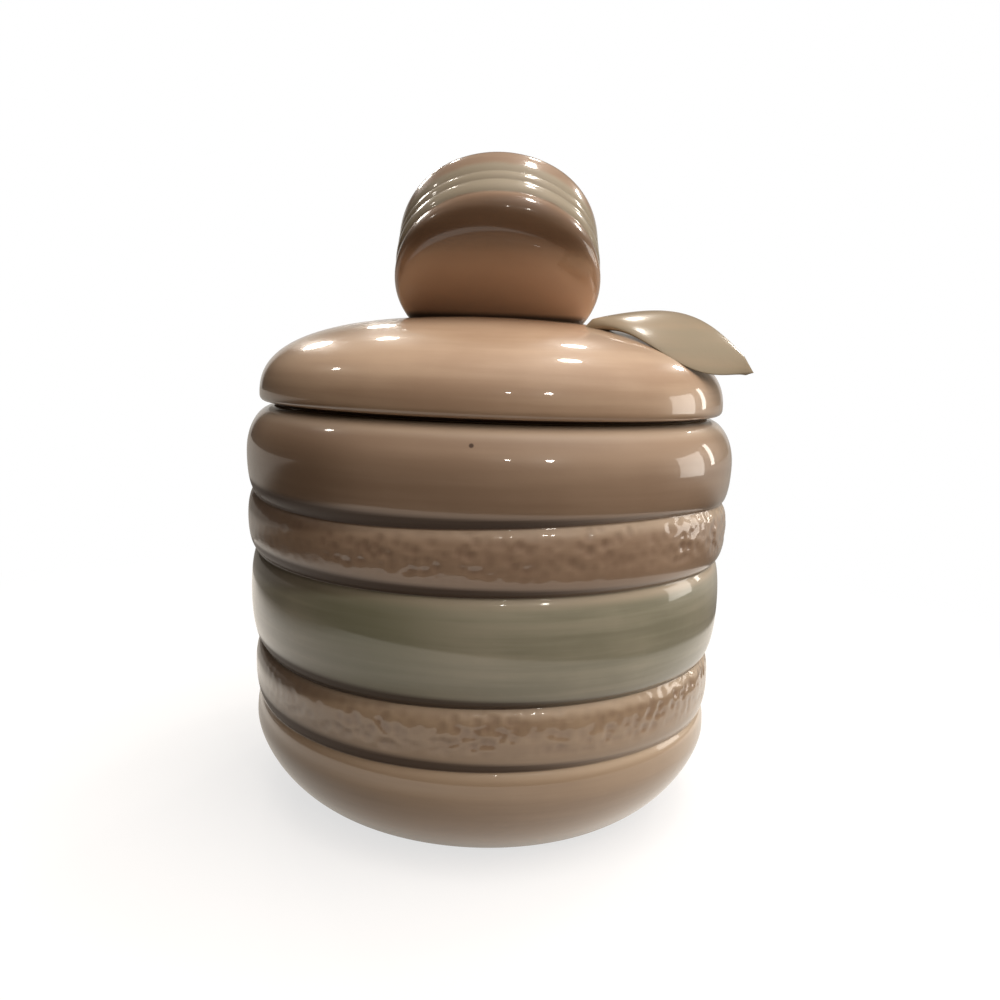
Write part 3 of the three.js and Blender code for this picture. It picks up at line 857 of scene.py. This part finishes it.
# Knob: its mint bands, the painted shade with some pooled glaze in its grooves, the ring of painted
# shade round its face, the painted bounce light on its lower face and the painted contact shadow where
# it meets the lid. Pairs of levels and heights are where a tint starts and where it is full, or the
# other way round.
KNOB_MINT_STRENGTH = 0.65
KNOB_SHADE_POOL_REACH = 1.0
KNOB_SHADE_POOL_STRENGTH = 0.25
KNOB_FACE_BACK = (-16.5, -13.0)
KNOB_RING_SHADE = colour(96, 72, 52)
KNOB_SHADE_FRONT = (-27.4, -25.0)
KNOB_SHADE_RISE = metres(204, 212)
KNOB_SHADE_STRENGTH = 0.5
KNOB_BOUNCE_LIGHT = colour(204, 169, 140)
KNOB_BOUNCE_TOP = metres(201, 214)
KNOB_CONTACT_SHADOW = metres(186.4, 188.6)

# Leaf: how far across it the peach of its rim starts, and where it is full
LEAF_RIM = (0.8, 0.97)

# Lines where two glazes meet: scale, detail and swing of their raggedness, and half their blur
WALL_RAGGED = (90.0, 4.0, 1.6)
WALL_BLUR = 0.5
KNOB_RAGGED = (120.0, 3.0, 2.0)
KNOB_FRONT_BLUR = 0.6
KNOB_BACK_BLUR = 1.5

# Noise of streaks and clouds, of the glaze's fine and slow relief and of its gloss. Scales are per
# metre.
STREAK_SCALE = 60.0
STREAK_DETAIL = 5.0
STREAK_STRETCH = (0.22, 0.22, 4.5)
CLOUD_SCALE = 26.0
CLOUD_DETAIL = 4.0
STREAK_RANGE = (0.38, 0.64)
RELIEF_DETAIL = 2.0
FINE_SCALE = 420.0
FINE_SHARE = 0.25
SLOW_SCALE = 70.0
BUMP_STRENGTH = 0.25
BUMP_DISTANCE = 0.4
ROUGHNESS = 0.26
ROUGHNESS_SWING = 0.08
DULL_ROUGHNESS = 0.75
GLAZE_IOR = 1.45
COAT_IOR = 1.55
COAT_ROUGHNESS = 0.03
KNOB_COAT_ROUGHNESS = 0.07
LEAF_COAT_ROUGHNESS = 0.2

# Seal ring's silicone
SILICONE = colour(222, 218, 208)
SILICONE_DEEP = colour(206, 202, 192)
SILICONE_SCALE = 60.0
SILICONE_ROUGHNESS = 0.42
SILICONE_ROUGHNESS_SWING = 0.2
SILICONE_SUBSURFACE = 0.2
SILICONE_SUBSURFACE_RADIUS = metres(2, 2, 1.5)


def streaks(tree, place, base, deep, strength):
    """A glaze colour with brushed streaks round the jar and soft clouds."""
    brushed = noise_at(tree, place, STREAK_SCALE, STREAK_DETAIL, STREAK_STRETCH)
    clouds = noise_at(tree, place, CLOUD_SCALE, CLOUD_DETAIL)
    both = times(tree, maths(tree, "ADD", brushed, clouds), 0.5)
    return tinted(tree, base, deep, rising(tree, both, *STREAK_RANGE), strength)


def ragged(tree, place, level, scale, detail, swing):
    """The level with a ragged wander up and down."""
    rough = maths(tree, "SUBTRACT", noise_at(tree, place, scale, detail), 0.5)
    return maths(tree, "MULTIPLY_ADD", rough, swing, level)


def past_line(tree, level, line, blur):
    return rising(tree, level, line - blur, line + blur)


def near_grooves(tree, level, lines, reach):
    """1 in the middle of each groove, and 0 past its reach on either side."""
    mask = 0.0
    for line in lines:
        before = rising(tree, level, line - reach, line)
        after = falling(tree, level, line, line + reach)
        mask = maths(tree, "MAXIMUM", mask, times(tree, before, after))
    return mask


def wall_surface(tree, place, level):
    line = ragged(tree, place, level, *WALL_RAGGED)
    above_foot = past_line(tree, line, LOW_FILLING_GROOVE, WALL_BLUR)
    above_filling = past_line(tree, line, HIGH_FILLING_GROOVE, WALL_BLUR)
    low_peach = streaks(tree, place, LOW_PEACH, LOW_PEACH_DEEP, PEACH_STREAKS)
    high_peach = streaks(tree, place, PEACH, PEACH_DEEP, PEACH_STREAKS)
    peach = mixed(tree, above_filling, low_peach, high_peach)
    # A darker, greener patch of painted shade on the filling's left front
    green_shade = near_place(tree, place, GREEN_SHADE_PLACE, GREEN_SHADE_REACH)
    mint = streaks(tree, place, MINT, MINT_DEEP, MINT_STREAKS)
    mint = tinted(tree, mint, GREEN_SHADE, green_shade, GREEN_SHADE_STRENGTH)
    tint = mixed(tree, maths(tree, "SUBTRACT", above_foot, above_filling), peach, mint)
    # A brown patch of painted shade on the top shell's left front
    brown_shade = near_place(tree, place, BROWN_SHADE_PLACE, BROWN_SHADE_REACH)
    speck = near_place(tree, place, SPECK_PLACE, SPECK_REACH)
    # Painted shade above the grooves, with some pooled glaze
    pool = attribute(tree, "pool")
    # Over the glaze go patches of painted shade, pits, painted light on edges, painted shade at the
    # grooves and a speck
    for colour_over, mask, strength in (
        (BROWN_SHADE, brown_shade, BROWN_SHADE_STRENGTH),
        (PIT_TINT, attribute(tree, "pit"), PIT_STRENGTH),
        (LIT_EDGE_TINT, attribute(tree, "edge"), LIT_EDGE_STRENGTH),
        (SHADE_POOL_TINT, pool, SHADE_POOL_STRENGTH),
        (SPECK, speck, SPECK_STRENGTH),
    ):
        tint = tinted(tree, tint, colour_over, mask, strength)
    outside = maths(tree, "GREATER_THAN", level, INSIDE_MARK / 2)
    bare = times(tree, falling(tree, level, *BARE_FOOT_LEVELS), outside)
    dull = maths(tree, "MAXIMUM", bare, times(tree, pool, SHADE_POOL_DULLNESS))
    return mixed(tree, bare, tint, BARE_CLAY), dull


def lid_surface(tree, place, level):
    outside = maths(tree, "GREATER_THAN", level, INSIDE_MARK / 2)
    # Painted shade under the lid's lip
    shade = times(tree, falling(tree, level, *LIP_SHADE_LEVELS), outside)
    bare = times(tree, falling(tree, level, *BARE_SEAT_LEVELS), outside)
    pale = streaks(tree, place, PALE_PEACH, PALE_DEEP, PALE_STREAKS)
    pale = mixed(tree, shade, pale, CONTACT_SHADOW)
    return mixed(tree, bare, pale, BARE_CLAY), bare


def knob_surface(tree, place, level):
    behind = rising(tree, level, -KNOB_FRONT_SHELL_DEPTH, -KNOB_FILLING_BACK_DEPTH)
    # The face gets a darker copy of the peach as painted shade, and the back gets the plain peach
    face = streaks(tree, place, KNOB_SHADED_PEACH, KNOB_SHADED_PEACH_DEEP, KNOB_STREAKS)
    back_peach = streaks(tree, place, PEACH, PEACH_DEEP, PEACH_STREAKS)
    tint = mixed(tree, behind, face, back_peach)
    line = ragged(tree, place, level, *KNOB_RAGGED)
    front = past_line(tree, line, -KNOB_FILLING_FRONT_DEPTH, KNOB_FRONT_BLUR)
    back = past_line(tree, line, KNOB_BACK_SHELL_DEPTH, KNOB_BACK_BLUR)
    tint = tinted(tree, tint, MINT, maths(tree, "SUBTRACT", front, back), KNOB_MINT_STRENGTH)
    grooves = (-KNOB_FILLING_FRONT_DEPTH, -KNOB_FILLING_BACK_DEPTH, -KNOB_BACK_FOOT_DEPTH)
    # Painted shade with some pooled glaze in the knob's grooves
    pool = near_grooves(tree, level, grooves, KNOB_SHADE_POOL_REACH)
    tint = tinted(tree, tint, SHADE_POOL_TINT, pool, KNOB_SHADE_POOL_STRENGTH)
    height = add(tree, "ShaderNodeSeparateXYZ", Vector=place).outputs["Z"]
    facing = falling(tree, level, *KNOB_FACE_BACK)
    # A ring of painted shade round the top of the face
    shade_ring = rising(tree, level, *KNOB_SHADE_FRONT)
    shade_ring = times(tree, facing, shade_ring, rising(tree, height, *KNOB_SHADE_RISE))
    tint = tinted(tree, tint, KNOB_RING_SHADE, shade_ring, KNOB_SHADE_STRENGTH)
    # Painted bounce light on the lower face
    bounce_light = times(tree, facing, falling(tree, height, *KNOB_BOUNCE_TOP))
    tint = mixed(tree, bounce_light, tint, KNOB_BOUNCE_LIGHT)
    # Painted contact shadow where the knob meets the lid
    return mixed(tree, falling(tree, height, *KNOB_CONTACT_SHADOW), tint, CONTACT_SHADOW), None


def leaf_surface(tree, place, level):
    mint = streaks(tree, place, LEAF_MINT, MINT_DEEP, LEAF_STREAKS)
    return mixed(tree, rising(tree, level, *LEAF_RIM), mint, PEACH), None


def glaze(name, surface, coat_roughness=COAT_ROUGHNESS):
    """A glossy glaze. surface(tree, place, level) gives its colour and a mask of where it is dull, or
    None in the mask's place where it is glossy all over."""
    material, tree = new_material(name)
    shader = tree.nodes["Principled BSDF"]
    place = coordinate(tree, "Object")
    tint, dull = surface(tree, place, attribute(tree, "level"))
    fine = noise_at(tree, place, FINE_SCALE, RELIEF_DETAIL)
    slow = noise_at(tree, place, SLOW_SCALE, RELIEF_DETAIL)
    height = maths(tree, "MULTIPLY_ADD", fine, FINE_SHARE, slow)
    size = BUMP_DISTANCE * MM
    relief = add(tree, "ShaderNodeBump", Strength=BUMP_STRENGTH, Distance=size, Height=height)
    rough = maths(tree, "MULTIPLY_ADD", slow, ROUGHNESS_SWING, ROUGHNESS)
    feed(
        tree,
        shader,
        Base_Color=tint,
        Roughness=rough,
        Normal=relief.outputs[0],
        IOR=GLAZE_IOR,
        Coat_Weight=1.0,
        Coat_Roughness=coat_roughness,
        Coat_IOR=COAT_IOR,
    )
    if dull is not None:
        rough = maths(tree, "MAXIMUM", rough, times(tree, dull, DULL_ROUGHNESS))
        coat = maths(tree, "SUBTRACT", 1.0, dull, clamp=True)
        feed(tree, shader, Roughness=rough, Coat_Weight=coat)
    return material


def silicone():
    material, tree = new_material("silicone")
    cloud = noise_at(tree, coordinate(tree, "Object"), SILICONE_SCALE)
    feed(
        tree,
        tree.nodes["Principled BSDF"],
        Base_Color=mixed(tree, cloud, SILICONE, SILICONE_DEEP),
        Roughness=maths(tree, "MULTIPLY_ADD", cloud, SILICONE_ROUGHNESS_SWING, SILICONE_ROUGHNESS),
        Subsurface_Weight=SILICONE_SUBSURFACE,
        Subsurface_Radius=SILICONE_SUBSURFACE_RADIUS,
    )
    return material


# Camera, at the photograph's place. Focal length and shift are shares of the picture's width.
CAMERA_BACK = 360.4
CAMERA_HEIGHT = 171.1
CAMERA_PITCH = math.radians(-9.07)
CAMERA_ROLL = math.radians(2.008)
CAMERA_CLIP_START = 10.0
SENSOR_WIDTH = 36.0
FOCAL_SHARE = 0.8902
SHIFT_SHARE = 0.0124


def make_camera():
    data = bpy.data.cameras.new("camera")
    data.sensor_width = SENSOR_WIDTH
    data.lens = FOCAL_SHARE * SENSOR_WIDTH
    data.shift_x = SHIFT_SHARE
    data.clip_start = CAMERA_CLIP_START * MM
    camera = link_object("camera", data)
    ahead = Vector((0, math.cos(CAMERA_PITCH), math.sin(CAMERA_PITCH)))
    level_right = Vector((1, 0, 0))
    level_up = level_right.cross(ahead)
    right = math.cos(CAMERA_ROLL) * level_right + math.sin(CAMERA_ROLL) * level_up
    up = right.cross(ahead)
    place = Matrix.Translation(metres(0, -CAMERA_BACK, CAMERA_HEIGHT))
    camera.matrix_world = place @ Matrix((right, up, -ahead)).transposed().to_4x4()
    bpy.context.scene.camera = camera


# Table, in metres. The camera sees it white, with the jar's shadow near the jar.
TABLE_REACH = 6.0
TABLE_DROP = 0.0002
WHITE = (1, 1, 1, 1)
LEAST_WHITE = 0.7
LEAST_WHITE_REACH = (0.1, 0.45)

# Glazes mirror a pale round patch of the table, which is shaded under the jar, beside it at its left
# and at the far left, and they mirror the table behind the jar more faintly
PATCH_MIDDLE = (-0.08, 0.03, 0)
PATCH_EDGE = (0.323, 0.347)
FOOT_SHADE = (0.06, 0.08)
LEFT_SHADE = (-0.4, -0.26)
JAR_SHADE = 0.45
JAR_SHADE_SIDE = (-0.06, 0.06)
JAR_SHADE_REACH = (0.14, 0.19)
BEHIND_START = (0.1, 0.4)
BEHIND_SHARE = 0.4
PATCH_PALE = (0.9, 0.83, 0.74, 1)
PATCH_DARK = (0.05, 0.04, 0.03, 1)

# The table throws warm light back at the jar, more of it from close by
BOUNCE_MIDDLE = (0.03, 0, 0)
BOUNCE_REACH = (0.11, 0.17)
BOUNCE_NEAR = colour(152, 132, 110)
BOUNCE_FAR = colour(62, 52, 42)


def seen_table(tree, radius):
    far = rising(tree, radius, *LEAST_WHITE_REACH)
    share = maths(tree, "MULTIPLY_ADD", far, 1 - LEAST_WHITE, LEAST_WHITE)
    plain = add(tree, "ShaderNodeBsdfDiffuse", Color=WHITE).outputs[0]
    white = add(tree, "ShaderNodeEmission", Color=WHITE, Strength=1.0).outputs[0]
    return shaders(tree, share, plain, white)


def mirrored_table(tree, place, radius):
    apart = add(tree, "ShaderNodeSeparateXYZ", Vector=place).outputs
    patch = falling(tree, distance(tree, place, PATCH_MIDDLE), *PATCH_EDGE)
    past_foot = rising(tree, radius, *FOOT_SHADE)
    rightward = rising(tree, apart["X"], *LEFT_SHADE)
    beside = falling(tree, apart["X"], *JAR_SHADE_SIDE)
    beside = times(tree, beside, falling(tree, radius, *JAR_SHADE_REACH))
    unshaded = flipped(tree, times(tree, beside, JAR_SHADE))
    lit = times(tree, patch, past_foot, rightward, unshaded)
    behind = times(tree, rising(tree, apart["Y"], *BEHIND_START), BEHIND_SHARE)
    pale = mixed(tree, maths(tree, "MAXIMUM", lit, behind), PATCH_DARK, PATCH_PALE)
    return add(tree, "ShaderNodeEmission", Color=pale, Strength=1.0).outputs[0]


def table_material():
    material, tree = new_material("table_top")
    tree.nodes.clear()
    path = add(tree, "ShaderNodeLightPath").outputs
    place = coordinate(tree, "Object")
    radius = add(tree, "ShaderNodeVectorMath", operation="LENGTH", _0=place).outputs["Value"]
    far = rising(tree, distance(tree, place, BOUNCE_MIDDLE), *BOUNCE_REACH)
    bounce = mixed(tree, far, BOUNCE_NEAR, BOUNCE_FAR)
    dull = add(tree, "ShaderNodeBsdfDiffuse", Color=bounce).outputs[0]
    mirrored = maths(tree, "MAXIMUM", path["Is Glossy Ray"], path["Is Transmission Ray"])
    other = shaders(tree, mirrored, dull, mirrored_table(tree, place, radius))
    whole = shaders(tree, path["Is Camera Ray"], other, seen_table(tree, radius))
    add(tree, "ShaderNodeOutputMaterial", _0=whole)
    return material


def make_table():
    corners = [(-1, -1), (1, -1), (1, 1), (-1, 1)]
    points = [(x * TABLE_REACH, y * TABLE_REACH, -TABLE_DROP) for x, y in corners]
    mesh = bpy.data.meshes.new("table")
    mesh.from_pydata(points, [], [(0, 1, 2, 3)])
    mesh.materials.append(table_material())
    piece = link_object("table", mesh)


# Light of the room, from above and from the right, a little weaker from the left. Pairs are parts of
# a ray's unit direction along X, Y or Z.
LIGHT_WAY = Vector((0.36, -0.05, 0.85)).normalized()
LIGHT_STRENGTH = 3.85
LIGHT_POWER = 4.0
LEAST_LIGHT = 0.015
LIGHT_LEFT = (-0.6, 0.1)
LIGHT_LEFT_SHARE = 0.9
LIGHT_WARMTH = (1.0, 0.95, 0.9, 1)
SHADE_WARMTH = (1.0, 0.84, 0.7, 1)

# What glazes mirror of the room: dim at the left, less so at the right and above, paler low behind
ROOM_SIDE = (-0.5, 0.9)
ROOM_ABOVE = (0.2, 0.8)
ROOM_BACK = (0.84, 0.9)
ROOM_LOW = (0.1, 0.4)
LEFT_COLOUR = (0.03, 0.025, 0.02, 1)
RIGHT_COLOUR = (0.2, 0.17, 0.13, 1)
ABOVE_COLOUR = (0.16, 0.14, 0.12, 1)
BACK_COLOUR = (0.55, 0.52, 0.48, 1)


def room_light(tree, way, apart):
    toward = add(tree, "ShaderNodeVectorMath", operation="DOT_PRODUCT", _0=way, _1=LIGHT_WAY)
    lobe = maths(tree, "MAXIMUM", toward.outputs["Value"], 0.0)
    lobe = maths(tree, "POWER", lobe, LIGHT_POWER)
    right = rising(tree, apart["X"], *LIGHT_LEFT)
    share = maths(tree, "MULTIPLY_ADD", right, 1 - LIGHT_LEFT_SHARE, LIGHT_LEFT_SHARE)
    lobe = times(tree, lobe, share)
    strength = maths(tree, "MULTIPLY_ADD", lobe, LIGHT_STRENGTH, LEAST_LIGHT)
    warmth = mixed(tree, lobe, SHADE_WARMTH, LIGHT_WARMTH)
    return add(tree, "ShaderNodeBackground", Color=warmth, Strength=strength).outputs[0]


def mirrored_room(tree, apart):
    seen = mixed(tree, rising(tree, apart["X"], *ROOM_SIDE), LEFT_COLOUR, RIGHT_COLOUR)
    seen = mixed(tree, rising(tree, apart["Z"], *ROOM_ABOVE), seen, ABOVE_COLOUR)
    back = rising(tree, apart["Y"], *ROOM_BACK)
    back = times(tree, back, falling(tree, apart["Z"], *ROOM_LOW))
    seen = mixed(tree, back, seen, BACK_COLOUR)
    return add(tree, "ShaderNodeBackground", Color=seen, Strength=1.0).outputs[0]


def make_world():
    world = bpy.data.worlds.new("room")
    bpy.context.scene.world = world
    world.use_nodes = True
    tree = world.node_tree
    tree.nodes.clear()
    path = add(tree, "ShaderNodeLightPath").outputs
    way = coordinate(tree, "Generated")
    apart = add(tree, "ShaderNodeSeparateXYZ", Vector=way).outputs
    white = add(tree, "ShaderNodeBackground", Color=WHITE, Strength=1.0).outputs[0]
    light = room_light(tree, way, apart)
    glossy = shaders(tree, path["Is Glossy Ray"], light, mirrored_room(tree, apart))
    shown = maths(tree, "MAXIMUM", path["Is Camera Ray"], path["Is Transmission Ray"])
    whole = shaders(tree, shown, glossy, white)
    add(tree, "ShaderNodeOutputWorld", _0=whole)


# Lamps, placed where the glazes mirror them as in the photograph: where each is, and its width and
# height, in metres, and its power in watts
CEILING_HEIGHT = 1.5
CEILING_LAMPS = [
    ((0.47, 0.30), 0.16, 2.2),
    ((0.41, 1.15), 0.14, 2.0),
    ((-0.57, 1.48), 0.14, 1.8),
    ((-1.25, 2.19), 0.36, 6.0),
    ((-1.63, 0.23), 0.15, 1.0),
    ((-0.72, 3.49), 0.2, 3.0),
    ((1.31, -2.52), 0.2, 4.0),
    ((0.39, -2.78), 0.12, 1.6),
    ((1.57, 1.68), 0.2, 3.6),
]
SIDE_PANELS = [
    ((1.20, 0.20, 0.22), (0.4, 0.46), 1.4),
    ((1.00, 0.52, 0.30), (0.08, 0.34), 0.4),
]
LAMP_COLOUR = (1, 0.94, 0.86)
AIM = Vector((0, 0, 0.12))


def hang_lamp(name, shape, place, size, power):
    data = bpy.data.lights.new(name, "AREA")
    data.shape = shape
    data.size, data.size_y = size
    data.energy = power
    data.color = LAMP_COLOUR
    lamp = link_object(name, data)
    lamp.location = place
    lamp.rotation_euler = (Vector(place) - AIM).to_track_quat("Z", "Y").to_euler()


def make_lamps():
    for i, (place, width, power) in enumerate(CEILING_LAMPS):
        hang_lamp(f"ceiling_lamp_{i}", "DISK", (*place, CEILING_HEIGHT), (width, width), power)
    for i, (place, size, power) in enumerate(SIDE_PANELS):
        hang_lamp(f"side_panel_{i}", "RECTANGLE", place, size, power)


# The jar and its surroundings
wall = make_wall()
lid = make_lid()
knob = make_knob()
leaf = make_leaf()
seal = make_seal()

for piece, node, body, slot in (
    (wall, "jar_body", "jar", "peach_glaze"),
    (lid, "lid", "lid", "pale_glaze"),
    (knob, "knob", "lid", "knob_glaze"),
    (leaf, "leaf", "lid", "mint_glaze"),
    (seal, "seal_ring", "seal", "soft_seal"),
):
    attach(piece, body)
    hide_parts(node)

wall.data.materials.append(glaze("wall_glaze", wall_surface))
lid.data.materials.append(glaze("lid_glaze", lid_surface))
knob.data.materials.append(glaze("knob_glaze", knob_surface, KNOB_COAT_ROUGHNESS))
leaf.data.materials.append(glaze("leaf_glaze", leaf_surface, LEAF_COAT_ROUGHNESS))
seal.data.materials.append(silicone())

make_camera()
make_table()
make_world()
make_lamps()
bpy.context.scene.view_settings.view_transform = "Standard"
